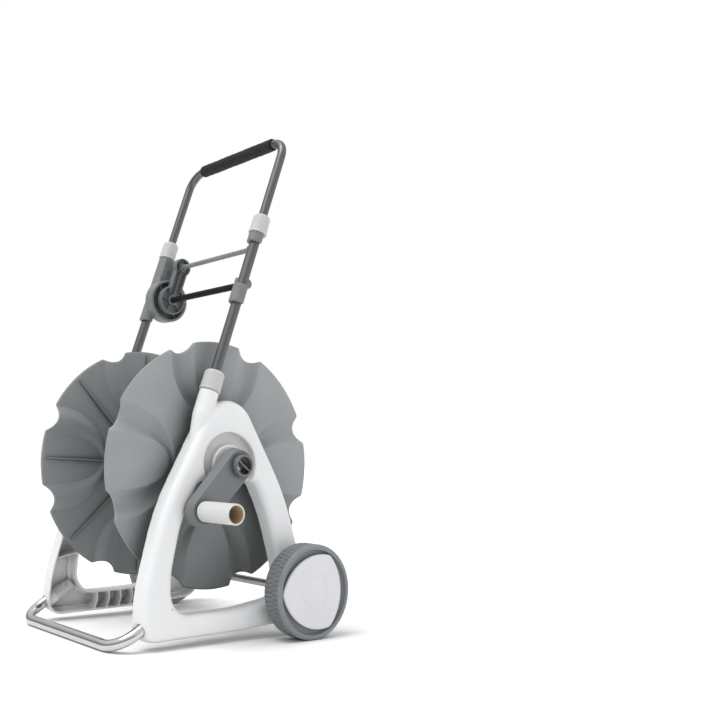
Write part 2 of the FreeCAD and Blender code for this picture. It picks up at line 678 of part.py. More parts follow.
flange_screws = []
for side in (1, -1):
    for spot in SCREW_CIRCLE:
        start = REEL + spot + X_AXIS * side * (float(d.flange_face) + 2)
        head = solid_cylinder(HEAD_RADIUS, 2.4, start, X_AXIS * side)
        shank = solid_cylinder(d.screw_radius, 11, start, X_AXIS * -side)
        flange_screws.append(head.fuse(shank))
shaped("flange_screws", Part.makeCompound(flange_screws))

# ---------------------------------------------------------------------------------------------
# Crank
# ---------------------------------------------------------------------------------------------
def arm_outline(x, inset):
    """The arm's outline on the plane at x: two round ends joined by tangent sides."""
    hub = Vector(x, 0, float(d.reel_z))
    knob = Vector(x, float(d.crank_y), float(d.reel_z) + float(d.crank_z))
    big = float(d.arm_hub_radius) - inset
    small = float(d.arm_knob_radius) - inset
    run = knob - hub
    along = Vector(run).normalize()
    side = X_AXIS.cross(along)
    tilt = math.asin((big - small) / run.Length)
    left = along * math.sin(tilt) + side * math.cos(tilt)
    right = along * math.sin(tilt) - side * math.cos(tilt)
    return Part.Wire([
        Part.LineSegment(hub + left * big, knob + left * small).toShape(),
        Part.Arc(knob + left * small, knob + along * small, knob + right * small).toShape(),
        Part.LineSegment(knob + right * small, hub + right * big).toShape(),
        Part.Arc(hub + right * big, hub - along * big, hub + left * big).toShape(),
    ])


def arm_shape():
    """The crank arm as a shell with drafted sides, open at the back."""
    inner = float(d.arm_inner)
    outer = float(d.arm_outer)
    draft = float(d.arm_draft)
    wall = float(d.arm_wall)
    back = inner + 0.6
    shell = Part.makeLoft([arm_outline(inner, 0), arm_outline(outer, draft)], True, True)
    hollow = Part.makeLoft([arm_outline(inner, wall), arm_outline(outer - wall, draft + wall)], True, True)
    shape = shell.cut(hollow)
    shape = shape.fuse(solid_cylinder(14, outer - back, REEL + X_AXIS * back))
    shape = shape.fuse(solid_cylinder(11, outer - back, CRANK + X_AXIS * back))
    outline_edges = [e for e in outward_edges(shape, outer) if e.BoundBox.DiagonalLength > 30]
    shape = shape.makeFillet(1.5, outline_edges)
    screw_room = solid_cylinder(CRANK_SCREW_HEAD, 8, REEL + X_AXIS * (outer - CRANK_SCREW_SEAT))
    shaft_hole = solid_cylinder(SHAFT_NOSE, 40, REEL + X_AXIS * (inner - 5))
    pin_hole = solid_cylinder(d.knob_pin_radius, 40, CRANK + X_AXIS * (inner + 3))
    return shape.cut([screw_room, shaft_hole, pin_hole])


shaped("crank_arm", arm_shape())

turned("crank_screw", [
    (crank_screw_tip, 0), (d.arm_outer - 1.2, 0), (d.arm_outer - 1.2, 4),
    (d.arm_outer - 2.2, CRANK_SCREW_HEAD), (nose_end, CRANK_SCREW_HEAD),
    (nose_end, crank_screw_radius), (crank_screw_tip, crank_screw_radius)], REEL)

cap_bore = d.cap_radius - 3
cap_floor = d.arm_outer + 2
cap_ring = turned_body("cap_ring", [
    (d.arm_outer, 11), (cap_floor, 11), (cap_floor, cap_bore), (d.cap_face, cap_bore),
    (d.cap_face, d.cap_radius), (d.arm_outer, d.cap_radius)])
cap_ring.Placement = Placement(REEL, NO_TURN)
bar_turn = Rotation(X_AXIS, -38)
bar_wall = 2.6
bar_corner = bar_turn.multVec(Vector(0, 2 - float(d.cap_radius), -bar_wall / 2))
cap_bar = box("cap_bar", d.cap_face - d.arm_outer - 2.5, 2 * d.cap_radius - 4, bar_wall,
              REEL + X_AXIS * (float(d.arm_outer) + 1) + bar_corner, bar_turn)
sub_part(fuse("hub_cap", [cap_ring, cap_bar]), "hub_cap")

pin_end = d.knob_start + 32
turned("knob_pin", [(d.arm_inner + 3, 0), (pin_end + 3, 0), (pin_end + 3, 8.5), (pin_end, 8.5),
                    (pin_end, d.knob_pin_radius), (d.arm_inner + 3, d.knob_pin_radius)], CRANK)
knob_bearing = d.knob_pin_radius + d.running_gap
bearing_end = pin_end - d.face_gap
turned("knob", [
    (d.knob_start, knob_bearing), (bearing_end, knob_bearing), (bearing_end, 9), (d.knob_start + 4, 9),
    (d.knob_start + 4, d.knob_bore), (d.knob_end, d.knob_bore), (d.knob_end, d.knob_radius - 0.8),
    (d.knob_end - 0.8, d.knob_radius), (d.knob_start + 0.8, d.knob_radius),
    (d.knob_start, d.knob_radius - 0.8)], CRANK)

# ---------------------------------------------------------------------------------------------
# Wheels
# ---------------------------------------------------------------------------------------------
wheel_bore = d.axle_radius + d.running_gap
hub_face = d.wheel_outer - 12
web_face = d.wheel_outer - 8
wheel_profile = [
    (d.wheel_hub, wheel_bore), (hub_face, wheel_bore), (hub_face, 16), (web_face - 2, 18), (web_face, 21),
    (web_face, d.wheel_recess - 3), (d.wheel_outer - 6, d.wheel_recess), (d.wheel_outer, d.wheel_recess + 1),
    (d.wheel_outer, d.wheel_radius - 4), (d.wheel_outer - 4, d.wheel_radius),
    (d.wheel_inner + 23, d.wheel_radius), (d.wheel_inner + 22, d.wheel_radius - 2),
    (d.wheel_inner + 19, d.wheel_radius - 2), (d.wheel_inner + 18, d.wheel_radius),
    (d.wheel_inner + 3, d.wheel_radius), (d.wheel_inner, d.wheel_radius - 3),
    (d.wheel_inner, d.wheel_radius - 10), (web_face - 6, d.wheel_radius - 13),
    (web_face - 6, d.wheel_recess - 6),
    (web_face - 3, d.wheel_recess - 9), (web_face - 3, 24), (web_face - 5, 16), (d.wheel_hub, 14),
]


def cover_shape():
    """A three-sided cover with bulging sides, one corner towards the front of the cart."""
    thickness, stub_length, stub_radius = 5.5, 2.5, 26
    start = float(d.wheel_outer) - thickness
    offset = float(d.cover_bow) - float(d.cover_side)
    discs = []
    for corner in (180, 60, -60):
        turn = math.radians(corner)
        centre = Vector(start, offset * math.cos(turn), offset * math.sin(turn))
        discs.append(solid_cylinder(d.cover_bow, thickness, centre))
    plate = discs[0].common(discs[1]).common(discs[2])
    upright = [e for e in plate.Edges if e.BoundBox.XLength > thickness - 0.5]
    plate = plate.makeFillet(12, upright)
    plate = plate.makeFillet(2, outward_edges(plate, start + thickness))
    stub = solid_cylinder(stub_radius, stub_length, Vector(start - stub_length, 0, 0))
    axle_room = solid_cylinder(13, stub_length + 0.4, Vector(start - stub_length - 0.5, 0, 0))
    return plate.fuse(stub).cut(axle_room)


for side, word in ((0, "right"), (180, "left")):
    turned("wheel_" + word, wheel_profile, AXLE, Rotation(Vector(0, 0, 1), side))
    cover = cover_shape()
    if side:
        cover = cover.mirror(Vector(0, 0, 0), X_AXIS)
    cover.translate(AXLE)
    shaped("wheel_cover_" + word, cover)

# ---------------------------------------------------------------------------------------------
# Telescopic handle and its lock collars
# ---------------------------------------------------------------------------------------------
handle_corners = [on_handle(-d.handle_x, d.inner_tube_low), on_handle(-d.handle_x, d.grip_along)]
handle_corners += [mirrored(corner) for corner in reversed(handle_corners)]
shaped("handle_tube", bent_rod(handle_corners, d.handle_bend, d.inner_tube_radius).cut(
    bent_rod(handle_corners, d.handle_bend, d.inner_tube_bore)))
turned("grip", [(-d.grip_half, d.inner_tube_radius), (d.grip_half, d.inner_tube_radius),
                (d.grip_half, d.grip_radius - 1.5), (d.grip_half - 1.5, d.grip_radius),
                (1.5 - d.grip_half, d.grip_radius), (-d.grip_half, d.grip_radius - 1.5)],
       on_handle(0, d.grip_along))
for side, name in ((1, "tube_plug_right"), (-1, "tube_plug_left")):
    turned(name, [(-4, 0), (14, 0), (14, d.inner_tube_bore), (0, d.inner_tube_bore),
                  (0, d.inner_tube_radius), (-4, d.inner_tube_radius)],
           on_handle(side * float(d.handle_x), d.inner_tube_low), ALONG_HANDLE)

collar_bore = d.outer_tube_radius + d.running_gap


def collar_outside(radius):
    """The outside of a lock collar: a lip at its foot and a rounded top."""
    return [(d.collar_length, radius - 4), (d.collar_length - 4, radius - 0.6), (3, radius),
            (2, radius + 0.6), (0, radius + 0.6)]


low_profile = [(0, d.neck_radius + 0.35), (24, d.neck_radius + 0.35), (24, collar_bore),
               (d.collar_length, collar_bore)] + collar_outside(d.low_collar_radius)
tube_end = d.outer_tube_top - d.high_collar + 0.3
high_profile = [(0, collar_bore), (tube_end, collar_bore), (tube_end, d.inner_tube_radius + 0.35),
                (d.collar_length, d.inner_tube_radius + 0.35)] + collar_outside(d.collar_radius)
for side, word in ((1, "right"), (-1, "left")):
    x = side * float(d.handle_x)
    turned("lower_collar_" + word, low_profile, on_handle(x, d.low_collar + d.face_gap), ALONG_HANDLE)
    turned("upper_collar_" + word, high_profile, on_handle(x, d.high_collar), ALONG_HANDLE)

# ---------------------------------------------------------------------------------------------
# Hose guide: a fixed bracket, clip and rod, and a frame of two levers and a bar that swings on it
# ---------------------------------------------------------------------------------------------
CLIP_GAP = 0.4                                          # between a clip and the collar above it
BRACKET_LOW = 150.0                                     # foot of the guide bracket, along the handle line
BRACKET_SCREW = 2.0
ROD_START, ROD_END = -132.0, 135.0                      # ends of the guide rod from the middle


def tube_clip(side, low, high):
    """A plastic shell round a lower tube, open along its back."""
    radius = float(d.clip_radius)
    place = on_handle(side * float(d.handle_x), low)
    shell = solid_cylinder(radius, high - low, place, ALONG)
    slot = Part.makeBox(2 * radius, 2 * radius, high - low + 2, Vector(-radius, 0, -1))
    slot.Placement = Placement(place + BACK * float(d.clip_slot), UPRIGHT_HANDLE)
    return shell.cut(slot)


def tube_bore(side):
    return solid_cylinder(d.outer_tube_radius, 400, on_handle(side * float(d.handle_x), 0), ALONG)


def bracket_shape():
    """The guide bracket on the left tube: clip, screw boss and the round housing of the pivot."""
    back, rim = float(d.housing_back), float(d.housing_rim)
    radius, depth = float(d.housing_radius), float(d.housing_cup)
    cup_start = GUIDE + X_AXIS * (rim - depth)
    clip = tube_clip(-1, BRACKET_LOW, float(d.high_collar) - CLIP_GAP)
    housing = solid_cylinder(radius, rim - back, GUIDE + X_AXIS * back)
    housing = housing.makeFillet(3, outward_edges(housing, back))
    cup = solid_cylinder(radius - 5, depth, cup_start)
    pivot = solid_cylinder(11, depth, cup_start)
    plate = Part.makeBox(12, 24, 96, Vector(back, -12, 190))
    plate.Placement = Placement(on_handle(0, 0), UPRIGHT_HANDLE)
    boss = solid_cylinder(11.5, 14, on_handle(back - 1, d.bracket_screw_along, 1))
    shape = clip.fuse([housing, plate, boss]).cut(cup).fuse(pivot)
    for angle in (-150, -105, -60, -15, 30):
        web = Part.makeBox(12, 1.8, 30, Vector(rim - depth, -0.9, 8))
        web.rotate(Vector(0, 0, 0), X_AXIS, angle)
        web.translate(GUIDE)
        shape = shape.fuse(web)
    rod_hole = solid_cylinder(d.guide_rod_radius, 60, GUIDE + X_AXIS * ROD_START)
    screw_hole = solid_cylinder(BRACKET_SCREW, 20, on_handle(back - 3, d.bracket_screw_along, 1))
    return shape.cut([tube_bore(-1), rod_hole, screw_hole])


shaped("guide_bracket", bracket_shape())

screw_seat = d.housing_back + 13
screw_head = solid_cylinder(4.2, 2.2, on_handle(screw_seat, d.bracket_screw_along, 1))
screw_shank = solid_cylinder(BRACKET_SCREW, 11, on_handle(screw_seat - 11, d.bracket_screw_along, 1))
shaped("bracket_screw", screw_head.fuse(screw_shank))


def rod_clip_shape():
    """The clip on the right tube that holds the other end of the guide rod."""
    clip = tube_clip(1, BRACKET_LOW + 2, BRACKET_LOW + 36)
    socket = solid_cylinder(9, 16, GUIDE + Vector(122, 0, 0))
    web = Part.makeBox(14, 22, 34, Vector(124, -3, 170))
    web.Placement = Placement(on_handle(0, 0), UPRIGHT_HANDLE)
    rod_hole = solid_cylinder(d.guide_rod_radius, 20, GUIDE + X_AXIS * (ROD_END - 20))
    return clip.fuse([web, socket]).cut([tube_bore(1), rod_hole])


shaped("rod_clip", rod_clip_shape())
shell_top = float(d.high_collar) - CLIP_GAP
shaped("collar_shell", tube_clip(1, shell_top - 17.6, shell_top).cut(tube_bore(1)))

ACROSS = Rotation(Vector(0, 0, 1), X_AXIS)
rod_start = GUIDE + X_AXIS * ROD_START
rod = cylinder("guide_rod", d.guide_rod_radius, ROD_END - ROD_START, rod_start)
sub_part(rod, "guide_rod", rod_start, ACROSS)

LEVER_RUN = BAR - GUIDE
ALONG_LEVER = Rotation(Vector(0, 0, 1), LEVER_RUN)


def lever_plate(start, thickness, low_radius, high_radius, waist):
    """Two round ends joined by a waist, from the plane at start."""
    low = solid_cylinder(low_radius, thickness, GUIDE + Vector(start, 0, 0))
    high = solid_cylinder(high_radius, thickness, BAR + Vector(start, 0, 0))
    neck = Part.makeBox(thickness, waist, LEVER_RUN.Length, Vector(start, -waist / 2, 0))
    neck.Placement = Placement(GUIDE, ALONG_LEVER)
    return low.fuse([high, neck])


def dog_bone_lever():
    """The left lever: a dished plate with a rim, two hubs and ribs."""
    start, depth = float(d.lever_start), float(d.lever_depth)
    low, high, waist, rim, floor, web_wall = 28, 18, 27, 2.6, 3, 1.6
    web_depth = depth - floor
    body = lever_plate(start, depth, low, high, waist)
    dish = lever_plate(start + floor, depth, low - rim, high - rim, waist - 2 * rim)
    shape = body.cut(dish)
    shape = shape.fuse([solid_cylinder(10, depth, GUIDE + X_AXIS * start),
                        solid_cylinder(8, depth, BAR + X_AXIS * start)])
    low_webs = (GUIDE, low - 2, (35, 100, 170, 240, 300))
    high_webs = (BAR, high - 2, (-40, 60, 150))
    for centre, reach, angles in (low_webs, high_webs):
        for angle in angles:
            web = Part.makeBox(web_depth, web_wall, reach, Vector(start, -web_wall / 2, 0))
            web.rotate(Vector(0, 0, 0), X_AXIS, angle - float(d.handle_lean))
            web.translate(centre)
            shape = shape.fuse(web)
    spine = Part.makeBox(web_depth, web_wall, LEVER_RUN.Length, Vector(start, -web_wall / 2, 0))
    spine.Placement = Placement(GUIDE, ALONG_LEVER)
    rod_room = solid_cylinder(d.guide_rod_radius + d.running_gap, 30, GUIDE + X_AXIS * (start - 5))
    bar_room = solid_cylinder(d.bar_radius, 30, BAR + X_AXIS * (start + 2))
    return shape.fuse(spine).cut([rod_room, bar_room])


def slim_lever():
    """The right lever: a plain flat bar with round ends."""
    start = -float(d.lever_start)
    rod_room = solid_cylinder(d.guide_rod_radius + d.running_gap, 20, GUIDE + X_AXIS * (start - 7))
    bar_room = solid_cylinder(d.bar_radius, 12, BAR + X_AXIS * (start - 7))
    return lever_plate(start, 7, 10, 8, 12).cut([rod_room, bar_room])


shaped("guide_lever_left", dog_bone_lever())
shaped("guide_lever_right", slim_lever())
bar_start = BAR + X_AXIS * (float(d.lever_start) + 2)
bar = cylinder("guide_bar", d.bar_radius, 5 - 2 * d.lever_start - 2, bar_start)
sub_part(bar, "guide_bar", bar_start, ACROSS)

# ---------------------------------------------------------------------------------------------
# Check every object, then write each sub-part
# ---------------------------------------------------------------------------------------------
doc.recompute()
for obj in doc.Objects:
    if "Invalid" in obj.State or "Error" in obj.State:
        raise RuntimeError("%s failed: %s" % (obj.Name, obj.State))
for part in parts:
    if part.Shape.isNull() or not part.Shape.isValid():
        raise RuntimeError("%s has no valid shape" % part.Label)

os.makedirs("parts", exist_ok=True)
for part in parts:
    part.Shape.exportStep("parts/%s.step" % part.Label)
    print("%-20s solids %d  volume %8.0f mm3" % (part.Label, len(part.Shape.Solids), part.Shape.Volume))
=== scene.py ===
"""The looks of a garden hose reel cart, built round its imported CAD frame.

Metres, +Z up. The crank is on the +X side, the wheels are at +Y and the foot is at -Y. Places come
from the frame: a sub-part's box, or a distance measured from one.
"""
import json
import math

import bmesh
import bpy
import numpy as np
from mathutils import Matrix, Vector

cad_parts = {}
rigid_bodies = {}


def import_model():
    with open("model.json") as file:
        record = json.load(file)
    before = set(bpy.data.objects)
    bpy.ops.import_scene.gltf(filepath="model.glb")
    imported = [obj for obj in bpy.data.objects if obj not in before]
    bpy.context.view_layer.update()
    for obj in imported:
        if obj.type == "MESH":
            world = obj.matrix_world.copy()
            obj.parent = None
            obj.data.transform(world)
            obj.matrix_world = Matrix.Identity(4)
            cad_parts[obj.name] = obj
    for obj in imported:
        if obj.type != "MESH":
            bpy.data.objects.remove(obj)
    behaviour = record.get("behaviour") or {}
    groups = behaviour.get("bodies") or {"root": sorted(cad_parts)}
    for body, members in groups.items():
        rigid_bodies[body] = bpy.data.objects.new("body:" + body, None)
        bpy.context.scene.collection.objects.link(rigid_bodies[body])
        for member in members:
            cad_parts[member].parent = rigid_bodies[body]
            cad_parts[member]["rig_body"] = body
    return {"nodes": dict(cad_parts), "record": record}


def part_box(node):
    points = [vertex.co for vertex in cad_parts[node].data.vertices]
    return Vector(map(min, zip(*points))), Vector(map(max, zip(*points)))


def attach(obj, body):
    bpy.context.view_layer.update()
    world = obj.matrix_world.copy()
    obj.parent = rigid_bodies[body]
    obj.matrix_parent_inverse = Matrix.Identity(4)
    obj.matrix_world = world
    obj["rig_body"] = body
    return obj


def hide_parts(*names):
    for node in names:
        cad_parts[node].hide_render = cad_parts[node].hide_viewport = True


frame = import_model()
nodes = frame["nodes"]
slot_of = {row["node"]: row["material_slot"] for row in frame["record"]["subparts"]}
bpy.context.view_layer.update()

MM = 0.001
X_AXIS = Vector((1, 0, 0))

# Scales of the noises, in cycles a metre, and heights of the relief, in metres.
CLOUDS = 14.0                       # slow change of a plastic's colour
GLOSS_CLOUDS = 55.0                 # change of a plastic's gloss
SPARK_GRAIN = 1500.0                # fine grain of a moulded face
SPARK_HEIGHT = 0.00006
STREAKS = 260.0                     # drawing marks of a tube
STREAK_HEIGHT = 0.00002
FOAM_CELLS = 900.0
FOAM_CELL_HEIGHT = 0.00015


# ---------------------------------------------------------------------------------------------
# Materials
# ---------------------------------------------------------------------------------------------
def new_material(name):
    """A material with its node tree, its principled shader and an object coordinate output."""
    material = bpy.data.materials.new(name)
    material.use_nodes = True
    tree = material.node_tree
    shader = tree.nodes["Principled BSDF"]
    place = tree.nodes.new("ShaderNodeTexCoord").outputs["Object"]
    return material, tree, shader, place


def noise(tree, place, scale, detail=3.0, stretch=None):
    """A noise texture's grey output, from 0 to 1, stretched along one direction if asked."""
    if stretch:
        mapping = tree.nodes.new("ShaderNodeMapping")
        mapping.inputs["Scale"].default_value = stretch
        tree.links.new(place, mapping.inputs["Vector"])
        place = mapping.outputs["Vector"]
    node = tree.nodes.new("ShaderNodeTexNoise")
    node.inputs["Scale"].default_value = scale
    node.inputs["Detail"].default_value = detail
    tree.links.new(place, node.inputs["Vector"])
    return node.outputs["Fac"]


def spread(tree, source, low, high, start=0.3, end=0.7):
    """A grey input carried from start-end to low-high."""
    node = tree.nodes.new("ShaderNodeMapRange")
    for socket, number in (("From Min", start), ("From Max", end), ("To Min", low), ("To Max", high)):
        node.inputs[socket].default_value = number
    tree.links.new(source, node.inputs["Value"])
    return node.outputs["Result"]


def mixed(tree, share, first, second):
    """A colour between two, each a colour or a socket, by a grey share."""
    node = tree.nodes.new("ShaderNodeMix")
    node.data_type = "RGBA"
    tree.links.new(share, node.inputs["Factor"])
    for name, colour in (("A", first), ("B", second)):
        colour_socket = [s for s in node.inputs if s.name == name and s.type == "RGBA"][0]
        if isinstance(colour, bpy.types.NodeSocket):
            tree.links.new(colour, colour_socket)
        else:
            colour_socket.default_value = (*colour, 1.0)
    return [s for s in node.outputs if s.type == "RGBA"][0]


def scaled(colour, factor):
    """A colour made lighter or darker."""
    return tuple(min(1.0, channel * factor) for channel in colour)


def bump(tree, source, shader, strength, height):
    """Relief of a height in metres from a grey source."""
    node = tree.nodes.new("ShaderNodeBump")
    node.inputs["Strength"].default_value = strength
    node.inputs["Distance"].default_value = height
    tree.links.new(source, node.inputs["Height"])
    tree.links.new(node.outputs["Normal"], shader.inputs["Normal"])


def painted_shade_share(tree, distance):
    """Where painted shade goes: 1 deep in a hollow, 0 in the open."""
    node = tree.nodes.new("ShaderNodeAmbientOcclusion")
    node.inputs["Distance"].default_value = distance
    node.samples = 8
    return spread(tree, node.outputs["AO"], 1.0, 0.0, 0.35, 0.95)


def plastic(name, colour, roughness=0.42, variety=0.05, grain=0.3, hollow=None, reach=0.02, wear=0.0,
            shine=0.5):
    """Moulded plastic: cloudy colour, a fine spark-eroded grain, uneven gloss and scuffed edges, and painted
    shade of the hollow colour in hollows, if one is given.
    """
    material, tree, shader, place = new_material(name)
    clouds = spread(tree, noise(tree, place, CLOUDS), 0.0, 1.0)
    base = mixed(tree, clouds, scaled(colour, 1 - variety), scaled(colour, 1 + variety))
    if wear:
        edges = tree.nodes.new("ShaderNodeNewGeometry").outputs["Pointiness"]
        base = mixed(tree, spread(tree, edges, 0.0, wear, 0.54, 0.64), base, scaled(colour, 1.5))
    # Painted shade: the colour darkens towards the hollow colour in hollows and between parts, within reach.
    if hollow:
        base = mixed(tree, painted_shade_share(tree, reach), base, hollow)
    tree.links.new(base, shader.inputs["Base Color"])
    gloss = spread(tree, noise(tree, place, GLOSS_CLOUDS, 6.0), roughness - 0.07, roughness + 0.08)
    tree.links.new(gloss, shader.inputs["Roughness"])
    shader.inputs["Specular IOR Level"].default_value = shine
    bump(tree, noise(tree, place, SPARK_GRAIN, 2.0), shader, grain, SPARK_HEIGHT)
    return material


def metal(name, colour, roughness, stretch=(1, 1, 1), variety=0.08, relief=0.05):
    """Drawn metal: faint streaks along the tube and slightly cloudy gloss."""
    material, tree, shader, place = new_material(name)
    shader.inputs["Metallic"].default_value = 1.0
    streaks = noise(tree, place, STREAKS, 4.0, stretch)
    share = spread(tree, streaks, 0.0, 1.0)
    base = mixed(tree, share, scaled(colour, 1 - variety), scaled(colour, 1 + variety))
    tree.links.new(base, shader.inputs["Base Color"])
    clouds = noise(tree, place, 30.0, 5.0)
    tree.links.new(spread(tree, clouds, roughness * 0.8, roughness * 1.25), shader.inputs["Roughness"])
    if relief:
        bump(tree, streaks, shader, relief, STREAK_HEIGHT)
    return material


def foam(name, colour):
    """Closed-cell foam: mottled skin with small pits."""
    material, tree, shader, place = new_material(name)
    cells = tree.nodes.new("ShaderNodeTexVoronoi")
    cells.inputs["Scale"].default_value = FOAM_CELLS
    tree.links.new(place, cells.inputs["Vector"])
    mottle = spread(tree, noise(tree, place, 190.0, 6.0), 0.0, 1.0)
    base = mixed(tree, mottle, scaled(colour, 0.75), scaled(colour, 1.35))
    tree.links.new(base, shader.inputs["Base Color"])
    shader.inputs["Roughness"].default_value = 0.88
    shader.inputs["Specular IOR Level"].default_value = 0.3
    bump(tree, cells.outputs["Distance"], shader, 0.4, FOAM_CELL_HEIGHT)
    return material


def clear_plastic(name, colour):
    """Milky see-through plastic."""
    material, tree, shader, place = new_material(name)
    haze = spread(tree, noise(tree, place, 70.0, 4.0), 0.0, 1.0)
    tree.links.new(mixed(tree, haze, scaled(colour, 0.93), colour), shader.inputs["Base Color"])
    tree.links.new(spread(tree, haze, 0.22, 0.4, 0.0, 1.0), shader.inputs["Roughness"])
    shader.inputs["Transmission Weight"].default_value = 0.3
    bump(tree, noise(tree, place, 400.0), shader, 0.15, 0.0001)
    return material


REEL_GREY = (0.335, 0.355, 0.362)
materials = {
    # frame_white's hollow colour is painted shade: warm grey-beige deep in the frames' hollows.
    "frame_white": plastic("frame_white", (0.83, 0.84, 0.85), 0.36, 0.02, 0.25,
                           hollow=(0.50, 0.48, 0.44), reach=0.022),
    "collar_white": plastic("collar_white", (0.54, 0.54, 0.54), 0.5, 0.02, 0.15),
    "cover_white": plastic("cover_white", (0.72, 0.72, 0.75), 0.34, 0.02, 0.15),
    "knob_white": plastic("knob_white", (0.67, 0.67, 0.65), 0.38, 0.02, 0.15),
    "plug_clear": clear_plastic("plug_clear", (0.86, 0.88, 0.90)),
    # reel_grey's hollow colour is painted shade: the flanges darken where they face each other and near the
    # drum.
    "reel_grey": plastic("reel_grey", REEL_GREY, 0.46, 0.05,
                         hollow=scaled(REEL_GREY, 0.32), reach=0.24),
    # arm_grey's hollow colour is painted shade in its small recesses.
    "arm_grey": plastic("arm_grey", (0.165, 0.175, 0.182), 0.44, 0.06,
                        hollow=(0.045, 0.048, 0.050), reach=0.012, wear=0.5),
    "wheel_grey": plastic("wheel_grey", (0.215, 0.232, 0.240), 0.5, 0.08, 0.5),
    "guide_grey": plastic("guide_grey", (0.19, 0.20, 0.203), 0.45, 0.07, wear=0.4),
    "lever_grey": plastic("lever_grey", (0.165, 0.175, 0.183), 0.42, 0.07, wear=0.6),
    "rod_black": plastic("rod_black", (0.012, 0.012, 0.013), 0.62, 0.15, shine=0.15),
    "foam_black": foam("foam_black", (0.022, 0.022, 0.024)),
    "tube_chrome": metal("tube_chrome", (0.60, 0.61, 0.62), 0.15, (0.1, 1, 1), 0.04),
    "handle_metal": metal("handle_metal", (0.155, 0.158, 0.165), 0.4, (1, 1, 0.06), 0.05, 0.0),
    "axle_steel": metal("axle_steel", (0.55, 0.55, 0.56), 0.3, (0.1, 1, 1)),
    "screw_steel": metal("screw_steel", (0.5, 0.5, 0.51), 0.35),
    "bearing_plastic": plastic("bearing_plastic", (0.60, 0.60, 0.58), 0.4),
    "shaft_plastic": plastic("shaft_plastic", (0.12, 0.125, 0.13), 0.42),
    "fitting_white": plastic("fitting_white", (0.72, 0.72, 0.70), 0.4),
    "seal_rubber": plastic("seal_rubber", (0.02, 0.02, 0.02), 0.7),
    # The knob's tan inside is painted shade: it stands in for the shadow and the light through the white wall
    # inside the tube.
    "knob_inside_painted_shade": plastic("knob_inside_painted_shade", (0.50, 0.37, 0.24), 0.5, 0.08),
}


# ---------------------------------------------------------------------------------------------
# Ways of making a piece
# ---------------------------------------------------------------------------------------------
def centre_of(node):
    low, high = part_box(node)
    return (low + high) / 2


def finish_piece(piece, node):
    """The new piece stands for a CAD node, takes its finish and rides on its body."""
    slot = slot_of[node]
    if not piece.data.materials:
        piece.data.materials.append(materials[slot])
    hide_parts(node)
    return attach(piece, nodes[node]["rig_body"])


def object_from(name, vertices, faces, smooth=True):
    mesh = bpy.data.meshes.new(name)
    mesh.from_pydata([tuple(v) for v in vertices], [], faces)
    work = bmesh.new()
    work.from_mesh(mesh)
    bmesh.ops.recalc_face_normals(work, faces=work.faces)
    work.to_mesh(mesh)
    work.free()
    mesh.polygons.foreach_set("use_smooth", [smooth] * len(mesh.polygons))
    piece = bpy.data.objects.new(name, mesh)
    bpy.context.scene.collection.objects.link(piece)
    return piece


def evaluated(piece):
    """The piece's mesh with its modifiers applied."""
    depsgraph = bpy.context.evaluated_depsgraph_get()
    mesh = bpy.data.meshes.new_from_object(piece.evaluated_get(depsgraph))
    piece.modifiers.clear()
    piece.data = mesh
    return piece


def moulded(node, voxel, rounds=4, share=1.0):
    """A CAD node as it leaves its mould: the same shape with every edge softened."""
    mesh = nodes[node].data.copy()
    mesh.materials.clear()
    piece = bpy.data.objects.new(node + "_moulded", mesh)
    bpy.context.scene.collection.objects.link(piece)
    remesh = piece.modifiers.new("remesh", "REMESH")
    remesh.mode = "VOXEL"
    remesh.voxel_size = voxel
    smooth = piece.modifiers.new("smooth", "SMOOTH")
    smooth.factor = 0.5
    smooth.iterations = rounds
    if share < 1:
        thin = piece.modifiers.new("thin", "DECIMATE")
        thin.ratio = share
    evaluated(piece)
    piece.data.polygons.foreach_set("use_smooth", [True] * len(piece.data.polygons))
    return finish_piece(piece, node)


def rounded(profile, radius, steps=3):
    """A closed profile with each corner replaced by a small curve."""
    points = [Vector(p) for p in profile]
    result = []
    for i, corner in enumerate(points):
        before, after = points[i - 1], points[(i + 1) % len(points)]
        back, ahead = before - corner, after - corner
        reach = min(radius, 0.45 * back.length, 0.45 * ahead.length)
        start, end = corner + back.normalized() * reach, corner + ahead.normalized() * reach
        for k in range(steps + 1):
            t = k / steps
            result.append((1 - t) ** 2 * start + 2 * t * (1 - t) * corner + t * t * end)
    return result


def lathe(name, profile, origin, direction, segments=96, radius_at=None):
    """A closed profile of (along, radius) turned about a line; radius_at may change a point's radius."""
    direction = Vector(direction).normalized()
    across = direction.cross(Vector((0, 0, 1)))
    if across.length < 0.1:
        across = direction.cross(Vector((0, 1, 0)))
    across.normalize()
    up = across.cross(direction)
    vertices, rings = [], []
    for along, radius in profile:
        rings.append(len(vertices))
        for i in range(segments):
            angle = 2 * math.pi * i / segments
            length = radius_at(along, radius, i) if radius_at else radius
            out = across * math.cos(angle) + up * math.sin(angle)
            vertices.append(origin + direction * along + out * length)
    faces = []
    count = len(profile)
    for j in range(count):
        a, b = rings[j], rings[(j + 1) % count]
        for i in range(segments):
            k = (i + 1) % segments
            faces.append((a + i, a + k, b + k, b + i))
    return object_from(name, vertices, faces)


# ---------------------------------------------------------------------------------------------
# Reel flanges
# ---------------------------------------------------------------------------------------------
SHEET = 3.0 * MM
HUB_RISE = 10 * MM                 # hub's face beyond the sheet's
HUB_RADIUS = 34 * MM
SHAFT_RADIUS = 12 * MM
PETAL_TURN = math.radians(2.2)     # first narrow petal from the top, clockwise from the crank side
NOTCH_SPREAD = math.radians(20.3)
NOTCH_DEPTH = 13 * MM
NOTCH_RADIUS = 34 * MM
FLUTE_DEPTH = 8.5 * MM
FULL_WIDTH = 30 * MM                # a flute narrower than this is shallower
NARROW_BOW = (185 * MM, 97 * MM, 47 * MM)       # centre from the axle, length, half width
WIDE_BOW = (187 * MM, 108 * MM, 95 * MM)
FLANGE_COLUMNS, FLANGE_ROWS = 720, 56


